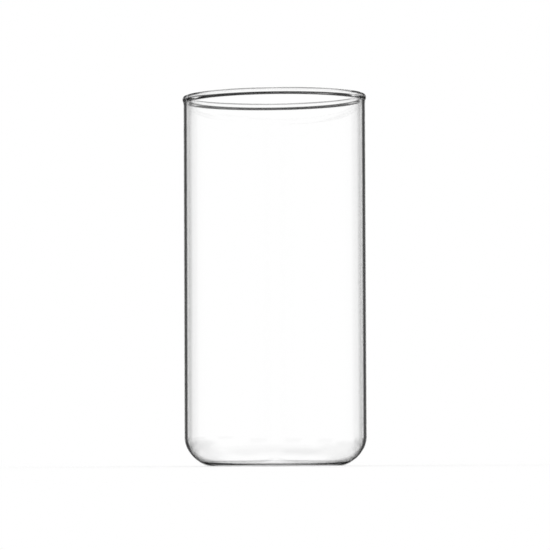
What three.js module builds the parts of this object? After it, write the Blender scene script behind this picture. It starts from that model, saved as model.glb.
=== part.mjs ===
// A clear, straight-sided glass tumbler with a fire-polished rim, blown in one piece.
// Millimetres, +Z up. The origin is the centre of the foot, on the table.
import * as THREE from 'three';

// Overall sizes
const OUTER_DIAMETER = 70; // across the straight wall
const HEIGHT = 142.5; // from the table to the crest of the rim
const WALL_THICKNESS = 1.2; // straight wall

// Base
const BASE_THICKNESS = 0.7; // glass between the table side and the floor, thinned by blowing
const CORNER_WIDTH = 9; // outside corner, from the wall in to the foot
const CORNER_HEIGHT = 11.5; // outside corner, from the table up to the straight wall
const CORNER_TURN_DEG = 66; // how far the outside corner turns before it meets the foot at an edge
const FLOOR_CORNER_WIDTH = 9.6; // inside corner, from the wall in to the floor
const FOOT_RING_WIDTH = 4; // flat ring that stands on the table
const PUSH_UP_HEIGHT = 0.1; // rise of the middle of the base inside the foot ring

// Rim
const BEAD_THICKNESS = 2.1; // bead of the rim, measured across the wall
const BEAD_OVERHANG = 0.4; // how far the bead stands out past the wall
const BEAD_NECK_HEIGHT = 2; // height over which the wall swells into the bead

// Fineness of the facets
const SIDES = 72;
const STEPS_PER_CURVE = 4;

// Finish
const GLASS_COLOUR = 0xf3f7f6;
const GLASS_OPACITY = 0.35;
const GLASS_ROUGHNESS = 0.03;

// A quarter turn, from the level to the upright
const quarterTurn = Math.PI / 2;

// Radii and heights that follow from the sizes above
const outerRadius = OUTER_DIAMETER / 2;
const innerRadius = outerRadius - WALL_THICKNESS;
const footOuterRadius = outerRadius - CORNER_WIDTH;
const footInnerRadius = footOuterRadius - FOOT_RING_WIDTH;
const cornerTurn = THREE.MathUtils.degToRad(CORNER_TURN_DEG);
const cornerRadiusAcross = CORNER_WIDTH / (1 - Math.cos(cornerTurn));
const cornerRadiusUp = CORNER_HEIGHT / Math.sin(cornerTurn);
const floorCornerRadiusUp = CORNER_HEIGHT - BASE_THICKNESS;
const beadRadius = BEAD_THICKNESS / 2;
const beadCentreRadius = outerRadius + BEAD_OVERHANG - beadRadius;
const beadCentreHeight = HEIGHT - beadRadius;
const neckHeight = beadCentreHeight - BEAD_NECK_HEIGHT;

// Adds a curve that leaves its start and reaches its end along the radius, as a dished disc does.
function addDish(profile, endRadius, endHeight) {
  const start = profile.currentPoint.clone();
  const middleRadius = (start.x + endRadius) / 2;
  profile.bezierCurveTo(middleRadius, start.y, middleRadius, endHeight, endRadius, endHeight);
}

// Adds a curve that leaves its start and reaches its end along the height, as a swelling wall does.
function addSwell(profile, endRadius, endHeight) {
  const start = profile.currentPoint.clone();
  const middleHeight = (start.y + endHeight) / 2;
  profile.bezierCurveTo(start.x, middleHeight, endRadius, middleHeight, endRadius, endHeight);
}

// Underside: the pushed-up middle, then the flat foot ring.
function addUnderside(profile) {
  profile.moveTo(0, PUSH_UP_HEIGHT);
  addDish(profile, footInnerRadius, 0);
  profile.lineTo(footOuterRadius, 0);
}

// Outside: the rounded corner, then the straight wall up to the neck of the bead.
function addOutside(profile) {
  const centreRadius = outerRadius - cornerRadiusAcross;
  profile.absellipse(
    centreRadius, CORNER_HEIGHT, cornerRadiusAcross, cornerRadiusUp, -cornerTurn, 0, false,
  );
  profile.lineTo(outerRadius, neckHeight);
}

// Rim: the wall swells into the bead, rolls over the crest and narrows again inside.
function addRim(profile) {
  addSwell(profile, beadCentreRadius + beadRadius, beadCentreHeight);
  profile.absarc(beadCentreRadius, beadCentreHeight, beadRadius, 0, Math.PI, false);
  addSwell(profile, innerRadius, neckHeight);
}

// Inside: the straight wall down to the rounded corner, then the floor, which follows the underside.
function addInside(profile) {
  const centreRadius = innerRadius - FLOOR_CORNER_WIDTH;
  profile.lineTo(innerRadius, CORNER_HEIGHT);
  profile.absellipse(
    centreRadius, CORNER_HEIGHT, FLOOR_CORNER_WIDTH, floorCornerRadiusUp, 0, -quarterTurn, true,
  );
  profile.lineTo(footInnerRadius, BASE_THICKNESS);
  addDish(profile, 0, BASE_THICKNESS + PUSH_UP_HEIGHT);
}

// The whole outline of the glass on one side of the axis: radius across, height up.
function tumblerProfile() {
  const profile = new THREE.Path();
  addUnderside(profile);
  addOutside(profile);
  addRim(profile);
  addInside(profile);
  return profile.getPoints(STEPS_PER_CURVE);
}

function clearGlass() {
  return new THREE.MeshStandardMaterial({
    color: GLASS_COLOUR,
    roughness: GLASS_ROUGHNESS,
    metalness: 0,
    transparent: true,
    opacity: GLASS_OPACITY,
  });
}

// The profile turned round the axis, which LatheGeometry lays along Y, then stood up along Z.
function glassBody() {
  const geometry = new THREE.LatheGeometry(tumblerProfile(), SIDES);
  geometry.rotateX(quarterTurn);
  const mesh = new THREE.Mesh(geometry, clearGlass());
  mesh.name = 'glass_body';
  return mesh;
}

const tumbler = new THREE.Group();
tumbler.name = 'glass_tumbler';
tumbler.add(glassBody());

export default tumbler;
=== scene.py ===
"""Dresses a clear glass tumbler: one body of thin blown glass on a white table, in bright-field light."""

import logging
import math
from dataclasses import dataclass, field
from enum import Enum

import bpy
from mathutils import Matrix, Vector


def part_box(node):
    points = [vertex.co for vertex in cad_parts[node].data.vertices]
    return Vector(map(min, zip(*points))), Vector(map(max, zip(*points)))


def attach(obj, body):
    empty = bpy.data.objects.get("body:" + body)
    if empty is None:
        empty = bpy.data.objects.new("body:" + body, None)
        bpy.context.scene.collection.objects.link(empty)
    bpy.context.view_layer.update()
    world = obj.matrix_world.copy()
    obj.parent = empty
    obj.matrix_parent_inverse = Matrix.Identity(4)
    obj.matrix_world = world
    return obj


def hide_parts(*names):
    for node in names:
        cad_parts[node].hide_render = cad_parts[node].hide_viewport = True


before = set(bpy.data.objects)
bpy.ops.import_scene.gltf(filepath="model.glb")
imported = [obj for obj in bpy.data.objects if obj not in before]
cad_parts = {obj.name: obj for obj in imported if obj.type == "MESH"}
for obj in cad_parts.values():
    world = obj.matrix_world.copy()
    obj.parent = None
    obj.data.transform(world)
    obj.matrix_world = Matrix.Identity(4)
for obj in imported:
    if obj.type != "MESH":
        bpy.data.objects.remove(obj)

LOG = logging.getLogger("glass_tumbler")
NODE = "glass_body"
BODY = "root"
MM = 0.001
IMAGE_WIDTH = 550
SENSOR_WIDTH = 36.0
QUARTER_TURN_DEG = 90.0
HALF_TURN_DEG = 180.0
WHITE = (1.0, 1.0, 1.0, 1.0)
FULL = 1.0

Point = tuple[float, float]
Span = tuple[float, float, float, float]
Socket = bpy.types.NodeSocket
Number = float | Socket

# Takes in every angle above and below the level.
ANY_RISE: Span = (-91.0, -90.5, 90.5, 91.0)


class Ray(Enum):
    """The kinds of ray that a surface or the surround can tell apart."""

    CAMERA = "Is Camera Ray"
    GLOSSY = "Is Glossy Ray"
    TRANSMITTED = "Is Transmission Ray"


class Graph:
    """Adds nodes to one node tree, so that a finish reads like a formula."""

    def __init__(self, tree: bpy.types.NodeTree) -> None:
        """Empties the tree.

        Args:
            tree: the node tree of a material or a world.
        """
        self.tree = tree
        tree.nodes.clear()

    def node(self, kind: str, **settings: object) -> bpy.types.Node:
        """Adds one node.

        Args:
            kind: the node's class name, without its ShaderNode prefix.
            settings: properties of the node.

        Returns:
            The new node.
        """
        made = self.tree.nodes.new("ShaderNode" + kind)
        for name, value in settings.items():
            setattr(made, name, value)
        return made

    def feed(self, target: Socket, value: Number | tuple[float, ...]) -> None:
        """Links a socket to an input, or sets the input to a plain value.

        Args:
            target: the input to feed.
            value: a socket, a number or a colour.
        """
        if isinstance(value, bpy.types.NodeSocket):
            self.tree.links.new(value, target)
        else:
            target.default_value = value

    def math(self, operation: str, *values: Number) -> Socket:
        """Works out one formula step.

        Args:
            operation: the name of a Math node's operation.
            values: one to three numbers or sockets.

        Returns:
            The result.
        """
        step = self.node("Math", operation=operation)
        for target, value in zip(step.inputs, values):
            self.feed(target, value)
        return step.outputs[0]

    def ramp(self, value: Socket, span: Point, ends: Point) -> Socket:
        """Runs a value softly from one level to another.

        Args:
            value: what the ramp follows.
            span: where the ramp starts and ends.
            ends: the levels there, which hold on beyond it.

        Returns:
            The level.
        """
        step = self.node("MapRange", interpolation_type="SMOOTHSTEP")
        for target, source in zip(step.inputs, (value, *span, *ends)):
            self.feed(target, source)
        return step.outputs[0]

    def cover(self, value: Socket, span: Span) -> Socket:
        """Tells how far a span covers a value.

        Args:
            value: what is covered.
            span: where the cover begins, where it is full, where it eases off and where it ends.

        Returns:
            The cover, from 0 to 1.
        """
        rising = self.ramp(value, span[:2], (0.0, 1.0))
        falling = self.ramp(value, span[2:], (1.0, 0.0))
        return self.math("MULTIPLY", rising, falling)

    def seen_by(self, ray: Ray) -> Socket:
        """Gives 1 for rays of one kind, and 0 for the others."""
        return self.node("LightPath").outputs[ray.value]


@dataclass(frozen=True)
class TumblerShape:
    """The tumbler's sizes in millimetres. The overall ones come from the frame.

    Attributes:
        rim_radius: outside radius of the rim's bead.
        height: from the table to the crest of the rim.
        wall: thickness of the straight wall.
        base: thickness of the base.
        corner_width: outside corner, from the wall in to the foot.
        corner_height: outside corner, from the table up to the straight wall.
        corner_turn_deg: how far the outside corner turns before it meets the foot.
        floor_corner: inside corner, from the wall in to the floor.
        foot_ring: width of the flat ring that stands on the table.
        push_up: rise of the middle of the base.
        bead: thickness of the rim's bead.
        overhang: how far the bead stands out past the wall.
        neck: height over which the wall swells into the bead.
        rim_lean_deg: how far the rim leans from the level.
        guard: distance from a curve at which a straight stretch gets a ring of its own.
        steps: stretches in each curve.
    """

    rim_radius: float
    height: float
    wall: float = 1.2
    base: float = 0.7
    corner_width: float = 9.0
    corner_height: float = 11.5
    corner_turn_deg: float = 66.0
    floor_corner: float = 9.6
    foot_ring: float = 4.0
    push_up: float = 0.1
    bead: float = 2.1
    overhang: float = 0.4
    neck: float = 2.0
    rim_lean_deg: float = 0.6
    guard: float = 0.3
    steps: int = 28

    @property
    def outer_radius(self) -> float:
        """Outside radius of the straight wall."""
        return self.rim_radius - self.overhang

    @property
    def inner_radius(self) -> float:
        """Inside radius of the straight wall."""
        return self.outer_radius - self.wall

    @property
    def foot_radius(self) -> float:
        """Outside radius of the flat foot ring."""
        return self.outer_radius - self.corner_width

    @property
    def bead_centre(self) -> Point:
        """Radius and height of the middle of the rim's bead."""
        return self.rim_radius - self.bead / 2, self.height - self.bead / 2

    def arc(self, centre: Point, radii: Point, first: float, last: float) -> list[Point]:
        """Points of an elliptic arc, without its first point.

        Args:
            centre: radius and height of the centre.
            radii: half widths across and up.
            first: start angle in degrees, from the outward direction.
            last: end angle in degrees.

        Returns:
            The points in order.
        """
        turns = [math.radians(first + (last - first) * i / self.steps) for i in range(1, self.steps + 1)]
        return [(centre[0] + radii[0] * math.cos(t), centre[1] + radii[1] * math.sin(t)) for t in turns]

    def ease(self, start: Point, end: Point, level: bool) -> list[Point]:
        """Points of an S curve, without its first point.

        It is a cubic curve whose two middle handles lie half way along.

        Args:
            start: where the curve leaves.
            end: where it arrives.
            level: whether it leaves and arrives along the radius, and otherwise along the height.

        Returns:
            The points in order.
        """
        along, across = (0, 1) if level else (1, 0)
        middle = (start[along] + end[along]) / 2
        points = []
        for i in range(1, self.steps + 1):
            t = i / self.steps
            s = 1 - t
            run = s**3 * start[along] + 3 * s * t * middle + t**3 * end[along]
            rise = start[across] + (end[across] - start[across]) * (3 - 2 * t) * t * t
            points.append((run, rise) if level else (rise, run))
        return points

    def straight(self, start: Point, end: Point) -> list[Point]:
        """Points of a straight stretch, without its first point.

        Args:
            start: where the stretch leaves.
            end: where it arrives.

        Returns:
            A point close to each end, which keep the smooth shading of the curves out, and the end.
        """
        near = self.guard / math.dist(start, end)
        shares = (near, 1 - near, 1.0)
        return [(start[0] + (end[0] - start[0]) * s, start[1] + (end[1] - start[1]) * s) for s in shares]

    def underside(self) -> list[Point]:
        """Outlines the pushed-up middle and the flat foot ring.

        Returns:
            The points from the axis outwards.
        """
        middle = (0.0, self.push_up)
        ring = (self.foot_radius - self.foot_ring, 0.0)
        foot = (self.foot_radius, 0.0)
        return [middle, *self.ease(middle, ring, True), *self.straight(ring, foot)]

    def outside(self) -> list[Point]:
        """Outlines the rounded corner and the straight wall, up to the neck of the bead.

        Returns:
            The points from the foot upwards.
        """
        turn = math.radians(self.corner_turn_deg)
        radii = (self.corner_width / (1 - math.cos(turn)), self.corner_height / math.sin(turn))
        centre = (self.outer_radius - radii[0], self.corner_height)
        corner = self.arc(centre, radii, -self.corner_turn_deg, 0.0)
        neck = (self.outer_radius, self.bead_centre[1] - self.neck)
        return [*corner, *self.straight(corner[-1], neck)]

    def rim(self) -> list[Point]:
        """Outlines the swell into the bead, the roll over its crest and the narrowing inside.

        Returns:
            The points from the outside neck to the inside one.
        """
        radius, level = self.bead_centre
        half = self.bead / 2
        out = self.ease((self.outer_radius, level - self.neck), (radius + half, level), False)
        over = self.arc(self.bead_centre, (half, half), 0.0, HALF_TURN_DEG)
        back = self.ease((radius - half, level), (self.inner_radius, level - self.neck), False)
        return [*out, *over, *back]

    def inside(self) -> list[Point]:
        """Outlines the inside wall, the rounded corner and the floor, which follows the underside.

        Returns:
            The points from the neck down and in to the axis.
        """
        radii = (self.floor_corner, self.corner_height - self.base)
        centre = (self.inner_radius - self.floor_corner, self.corner_height)
        ring = (self.foot_radius - self.foot_ring, self.base)
        middle = (0.0, self.base + self.push_up)
        neck = (self.inner_radius, self.bead_centre[1] - self.neck)
        wall = self.straight(neck, (self.inner_radius, self.corner_height))
        corner = self.arc(centre, radii, 0.0, -QUARTER_TURN_DEG)
        return [*wall, *corner, *self.straight(corner[-1], ring), *self.ease(ring, middle, True)]

    def outline(self) -> list[Point]:
        """The whole outline on one side of the axis, from the underside to the floor."""
        return self.underside() + self.outside() + self.rim() + self.inside()

    def place(self, point: Point, turn: float) -> Vector:
        """Turns one outline point round the axis.

        Args:
            point: radius and height.
            turn: angle round the axis, in radians.

        Returns:
            The place in metres. The higher it is, the more it follows the lean of the rim.
        """
        radius, level = point
        x, y = radius * math.cos(turn), radius * math.sin(turn)
        lean = math.tan(math.radians(self.rim_lean_deg)) * x * (level / self.height) ** 2
        return Vector((x, y, level + lean)) * MM


@dataclass(frozen=True)
class ClearGlass:
    """Thin borosilicate glass: clear, fire-polished and a little wavy. Lengths are in millimetres.

    Attributes:
        name: the material's name.
        ior: index of refraction.
        polish: roughness of the polished glass.
        wave_length: length of the swells round the wall.
        wave_stretch: how much longer they are along the height.
        wave_detail: how many finer layers the swells have.
        wave_depth: depth of the swells.
        scuff_height: height up to which the foot is scuffed.
        scuff: roughness of the scuffs.
        grain: size of the scuffs.
    """

    name: str = "clear_glass"
    ior: float = 1.473
    polish: float = 0.0
    wave_length: float = 14.0
    wave_stretch: float = 4.0
    wave_detail: float = 1.0
    wave_depth: float = 0.004
    scuff_height: float = 0.15
    scuff: float = 0.25
    grain: float = 1.0

    def waviness(self, graph: Graph, place: Socket) -> Socket:
        """Adds the slow swells that blowing leaves, drawn out along the height.

        Args:
            graph: the nodes of the material.
            place: the place on the object.

        Returns:
            The normal.
        """
        stretch = graph.node("Mapping")
        graph.feed(stretch.inputs["Vector"], place)
        graph.feed(stretch.inputs["Scale"], (1.0, 1.0, 1.0 / self.wave_stretch))
        swell = graph.node("TexNoise")
        graph.feed(swell.inputs["Vector"], stretch.outputs[0])
        graph.feed(swell.inputs["Scale"], 1.0 / (self.wave_length * MM))
        graph.feed(swell.inputs["Detail"], self.wave_detail)
        bump = graph.node("Bump")
        graph.feed(bump.inputs["Strength"], FULL)
        graph.feed(bump.inputs["Distance"], self.wave_depth * MM)
        graph.feed(bump.inputs["Height"], swell.outputs[0])
        return bump.outputs[0]

    def wear(self, graph: Graph, place: Socket) -> Socket:
        """Polishes the glass all over and scuffs the ring that touches the table.

        Args:
            graph: the nodes of the material.
            place: the place on the object.

        Returns:
            The roughness.
        """
        split = graph.node("SeparateXYZ")
        graph.feed(split.inputs[0], place)
        low = graph.ramp(split.outputs["Z"], (0.0, self.scuff_height * MM), (self.scuff, 0.0))
        grain = graph.node("TexNoise")
        graph.feed(grain.inputs["Vector"], place)
        graph.feed(grain.inputs["Scale"], 1.0 / (self.grain * MM))
        return graph.math("MULTIPLY_ADD", low, grain.outputs[0], self.polish)

    def material(self) -> bpy.types.Material:
        """Makes the material.

        Returns:
            A glass material whose constants sit on the shader's own sockets.
        """
        made = bpy.data.materials.new(self.name)
        made.use_nodes = True
        graph = Graph(made.node_tree)
        place = graph.node("TexCoord").outputs["Object"]
        shader = graph.node("BsdfPrincipled")
        graph.feed(shader.inputs["Transmission Weight"], FULL)
        graph.feed(shader.inputs["IOR"], self.ior)
        graph.feed(shader.inputs["Base Color"], WHITE)
        graph.feed(shader.inputs["Roughness"], self.wear(graph, place))
        graph.feed(shader.inputs["Normal"], self.waviness(graph, place))
        graph.feed(graph.node("OutputMaterial").inputs["Surface"], shader.outputs[0])
        return made


@dataclass
class Tumbler:
    """The one piece of the object: a body of glass turned from its outline.

    Attributes:
        shape: the sizes and the outline.
        finish: the glass.
        name: the piece's name.
        sides: faces round the axis.
    """

    shape: TumblerShape
    finish: ClearGlass = field(default_factory=ClearGlass)
    name: str = "glass_tumbler"
    sides: int = 256

    def rings(self) -> list[list[Vector]]:
        """Turns the outline round the axis.

        Returns:
            A ring of places for each outline point, and one place for each end on the axis.
        """
        turns = [2 * math.pi * i / self.sides for i in range(self.sides)]
        return [
            [self.shape.place(p, t) for t in (turns if p[0] > 0 else turns[:1])]
            for p in self.shape.outline()
        ]

    def faces(self, rings: list[list[Vector]]) -> list[tuple[int, ...]]:
        """Joins each ring to the next, with fans at the two ends.

        Args:
            rings: the rings in order.

        Returns:
            The faces as vertex numbers, facing out of the glass.
        """
        made = []
        start = 0
        for low, high in zip(rings, rings[1:]):
            after = start + len(low)
            for i in range(self.sides):
                j = (i + 1) % self.sides
                below = (start + i % len(low), start + j % len(low))
                above = (after + j % len(high), after + i % len(high))
                # A ring of one point gives the same number twice, and the face loses a corner.
                made.append(tuple(dict.fromkeys(below + above)))
            start = after
        return made

    def build(self) -> bpy.types.Object:
        """Makes the smooth mesh and its object.

        Returns:
            The object, in the frame's own place.
        """
        rings = self.rings()
        mesh = bpy.data.meshes.new(self.name)
        mesh.from_pydata([p for ring in rings for p in ring], [], self.faces(rings))
        mesh.shade_smooth()
        piece = bpy.data.objects.new(self.name, mesh)
        bpy.context.scene.collection.objects.link(piece)
        return piece

    def dress(self, piece: bpy.types.Object) -> None:
        """Gives the piece its finish and its body, and hides the CAD part of its node.

        Args:
            piece: the built object.
        """
        piece.data.materials.append(self.finish.material())
        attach(piece, BODY)
        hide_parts(NODE)


@dataclass(frozen=True)
class PaintedReflectionCard:
    """A dark card of the surround, seen only in what the glass bends or mirrors: a painted dark
    reflection. Its two spans are in degrees.

    Each span states where the card begins, where it is full, where it eases off and where it ends.

    Attributes:
        across: the span from left to right, where 0 is straight away from the camera.
        up: the span from low to high, where 0 is level.
        depth: how dark the card is, from 0 to 1.
    """

    across: Span
    up: Span = ANY_RISE
    depth: float = FULL

    def shade(self, graph: Graph, turn: Socket, rise: Socket) -> Socket:
        """How dark the card makes the surround, from 0 to its depth.

        Args:
            graph: the nodes of the world.
            turn: the ray's angle to the right of straight away from the camera.
            rise: its angle above the level.

        Returns:
            The darkness.
        """
        cover = graph.math("MULTIPLY", graph.cover(turn, self.across), graph.cover(rise, self.up))
        return graph.math("MULTIPLY", cover, self.depth)


@dataclass(frozen=True)
class Surround:
    """A white surround that lights the scene evenly.

    Only what the glass bends or mirrors meets dark cards round a white screen behind it; the camera and
    light on matt surfaces meet plain white. These cards are painted dark reflections and refractions,
    which draw the edges of clear glass.
    """

    name: str = "white_surround"
    # Painted dark reflections: the lines along the walls
    left_side: PaintedReflectionCard = PaintedReflectionCard((-34.0, -28.0, -15.0, -8.0), depth=0.93)
    right_side: PaintedReflectionCard = PaintedReflectionCard((8.0, 15.0, 28.0, 34.0), depth=0.93)
    left_edge: PaintedReflectionCard = PaintedReflectionCard((-34.0, -28.0, -8.0, -3.0), depth=0.08)
    right_edge: PaintedReflectionCard = PaintedReflectionCard((3.0, 8.0, 28.0, 34.0), depth=0.08)
    left_wing: PaintedReflectionCard = PaintedReflectionCard((-58.0, -48.0, -42.0, -36.0), (-14.0, -8.0, 8.0, 14.0), 0.5)
    right_wing: PaintedReflectionCard = PaintedReflectionCard((36.0, 42.0, 48.0, 58.0), (-14.0, -8.0, 8.0, 14.0), 0.5)
    # The ends of the rim
    left_flank: PaintedReflectionCard = PaintedReflectionCard((-62.0, -55.0, -36.0, -30.0), (-14.0, -10.0, -4.0, -1.0), 0.9)
    right_flank: PaintedReflectionCard = PaintedReflectionCard((26.0, 32.0, 56.0, 62.0), (-16.0, -13.0, -4.0, -1.0), 0.9)
    # The lines along the bead
    above: PaintedReflectionCard = PaintedReflectionCard((-125.0, -100.0, 80.0, 110.0), (12.0, 20.0, 42.0, 54.0))
    left_top: PaintedReflectionCard = PaintedReflectionCard((-100.0, -80.0, -8.0, -2.0), (6.0, 11.0, 42.0, 54.0))
    right_top: PaintedReflectionCard = PaintedReflectionCard((14.0, 22.0, 80.0, 100.0), (6.0, 11.0, 42.0, 54.0))
    behind: PaintedReflectionCard = PaintedReflectionCard((-178.0, -160.0, -95.0, -75.0), (26.0, 32.0, 48.0, 54.0))
    left_low: PaintedReflectionCard = PaintedReflectionCard((-100.0, -80.0, -24.0, -14.0), (-18.0, -14.0, -10.0, -6.0))
    # The crest of the rim, the base and the bottom corners
    below: PaintedReflectionCard = PaintedReflectionCard((-34.0, -24.0, 24.0, 34.0), (-50.0, -40.0, -20.0, -14.0), 0.6)
    left_corner: PaintedReflectionCard = PaintedReflectionCard((-24.0, -18.0, -10.0, -4.0), (-26.0, -20.0, -10.0, -5.0))
    right_corner: PaintedReflectionCard = PaintedReflectionCard((4.0, 10.0, 18.0, 24.0), (-26.0, -20.0, -10.0, -5.0))
    # The crest seen from behind: these two run on past a half turn and meet there
    right_rear_low: PaintedReflectionCard = PaintedReflectionCard((90.0, 100.0, 181.0, 182.0), (-72.0, -64.0, -40.0, -34.0), 0.8)
    left_rear_low: PaintedReflectionCard = PaintedReflectionCard((-182.0, -181.0, -100.0, -90.0), (-72.0, -64.0, -40.0, -34.0), 0.8)
    # The walls seen from the sides and from behind
    far_left: PaintedReflectionCard = PaintedReflectionCard((-82.0, -75.0, -60.0, -53.0), (-36.0, -30.0, -2.0, -0.8), 0.5)
    rear_left: PaintedReflectionCard = PaintedReflectionCard((-127.0, -120.0, -105.0, -98.0), (-9.0, -7.0, -2.0, -0.8), 0.5)
    far_right: PaintedReflectionCard = PaintedReflectionCard((98.0, 105.0, 120.0, 127.0), (-26.0, -20.0, -10.0, -6.0), 0.5)
    rear_right: PaintedReflectionCard = PaintedReflectionCard((143.0, 150.0, 165.0, 172.0), (-26.0, -20.0, -10.0, -6.0), 0.5)
    back_left: PaintedReflectionCard = PaintedReflectionCard((-172.0, -165.0, -150.0, -143.0), (-26.0, -20.0, -10.0, -6.0), 0.5)

    def cards(self) -> tuple[PaintedReflectionCard, ...]:
        """All the dark cards, which paint dark reflections and refractions on the glass."""
        return tuple(value for value in vars(self).values() if isinstance(value, PaintedReflectionCard))

    def build(self) -> bpy.types.World:
        """Makes the world.

        Returns:
            The world, white for the camera and for light on matt surfaces.
        """
        world = bpy.data.worlds.new(self.name)
        world.use_nodes = True
        graph = Graph(world.node_tree)
        split = graph.node("SeparateXYZ")
        graph.feed(split.inputs[0], graph.node("TexCoord").outputs["Generated"])
        right, away, up = split.outputs
        turn = graph.math("DEGREES", graph.math("ARCTAN2", right, away))
        rise = graph.math("DEGREES", graph.math("ARCSINE", up))
        darkest, *others = [card.shade(graph, turn, rise) for card in self.cards()]
        for shade in others:
            darkest = graph.math("MAXIMUM", darkest, shade)
        # Only glossy and transmitted rays see the dark cards: painted dark reflections and refractions on
        # the glass.
        bent = graph.math("MAXIMUM", graph.seen_by(Ray.GLOSSY), graph.seen_by(Ray.TRANSMITTED))
        dark = graph.math("MULTIPLY", darkest, bent)
        light = graph.node("Background")
        graph.feed(light.inputs["Color"], WHITE)
        graph.feed(light.inputs["Strength"], graph.math("SUBTRACT", FULL, dark))
        graph.feed(graph.node("OutputWorld").inputs["Surface"], light.outputs[0])
        bpy.context.scene.world = world
        return world


@dataclass
class Table:
    """The white table: a wide disc that takes the tumbler's soft shadow.

    Attributes:
        name: the name of the disc and its paint.
        radius: in millimetres.
        sides: corners of the disc.
        colour: grey level of the matt paint.
        glow: light that the camera sees on top, which lifts the paint to white.
    """

    name: str = "table"
    radius: float = 900.0
    sides: int = 128
    colour: float = 0.4
    glow: float = 0.6

    def build(self) -> bpy.types.Object:
        """Makes the disc at the height of the foot.

        Returns:
            The disc, which the glass itself looks past, to the surround.
        """
        turns = [2 * math.pi * i / self.sides for i in range(self.sides)]
        rim = [(self.radius * MM * math.cos(t), self.radius * MM * math.sin(t), 0.0) for t in turns]
        mesh = bpy.data.meshes.new(self.name)
        mesh.from_pydata(rim, [], [tuple(range(self.sides))])
        disc = bpy.data.objects.new(self.name, mesh)
        bpy.context.scene.collection.objects.link(disc)
        disc.visible_glossy = False
        disc.visible_transmission = False
        return disc

    def dress(self, disc: bpy.types.Object) -> None:
        """Paints the disc: matt, with a glow for the camera that lifts it to white.

        Args:
            disc: the built object.
        """
        paint = bpy.data.materials.new(self.name)
        paint.use_nodes = True
        graph = Graph(paint.node_tree)
        matt = graph.node("BsdfDiffuse")
        graph.feed(matt.inputs["Color"], (self.colour, self.colour, self.colour, 1.0))
        glow = graph.node("Emission")
        graph.feed(glow.inputs["Color"], WHITE)
        graph.feed(glow.inputs["Strength"], graph.math("MULTIPLY", graph.seen_by(Ray.CAMERA), self.glow))
        both = graph.node("AddShader")
        graph.feed(both.inputs[0], matt.outputs[0])
        graph.feed(both.inputs[1], glow.outputs[0])
        graph.feed(graph.node("OutputMaterial").inputs["Surface"], both.outputs[0])
        disc.data.materials.append(paint)


@dataclass(frozen=True)
class PhotoCamera:
    """The camera: level with the foot, far off, tipped up a little. Lengths are in millimetres.

    Attributes:
        name: the camera's name.
        distance: from the lens to the axis of the tumbler.
        eye_height: height of the lens above the table.
        aim_height: height on the axis that the camera looks at.
        roll_deg: how far the camera is turned about its line of sight.
        pixels_per_mm: size of the picture at the axis.
    """

    name: str = "camera"
    distance: float = 1485.0
    eye_height: float = 4.0
    aim_height: float = 73.35
    roll_deg: float = 0.24
    pixels_per_mm: float = 2.606

    def build(self) -> bpy.types.Object:
        """Makes the camera and hands it to the scene.

        Returns:
            The camera, in front of the tumbler on the -Y side.
        """
        lens = bpy.data.cameras.new(self.name)
        lens.sensor_width = SENSOR_WIDTH
        lens.lens = self.pixels_per_mm * self.distance * SENSOR_WIDTH / IMAGE_WIDTH
        tip = math.atan2(self.aim_height - self.eye_height, self.distance)
        stand = Matrix.Translation(Vector((0.0, -self.distance, self.eye_height)) * MM)
        aim = Matrix.Rotation(math.radians(QUARTER_TURN_DEG) + tip, 4, "X")
        roll = Matrix.Rotation(-math.radians(self.roll_deg), 4, "Z")
        camera = bpy.data.objects.new(self.name, lens)
        camera.matrix_world = stand @ aim @ roll
        bpy.context.scene.collection.objects.link(camera)
        bpy.context.scene.camera = camera
        return camera


def main() -> None:
    """Builds the camera, the surround, the table and the tumbler, and logs each one, with the tumbler's
    face count.
    """
    logging.basicConfig(level=logging.INFO, format="%(name)s: %(message)s")
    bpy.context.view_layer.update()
    bpy.context.scene.view_settings.view_transform = "Standard"
    LOG.info("camera %s", PhotoCamera().build().name)
    LOG.info("surround %s", Surround().build().name)
    table = Table()
    disc = table.build()
    table.dress(disc)
    LOG.info("stage %s", disc.name)
    low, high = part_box(NODE)
    tumbler = Tumbler(TumblerShape(rim_radius=high.x / MM, height=(high.z - low.z) / MM))
    piece = tumbler.build()
    tumbler.dress(piece)
    LOG.info("piece %s: %d faces, stands for %s", piece.name, len(piece.data.polygons), NODE)


if __name__ == "__main__":
    main()
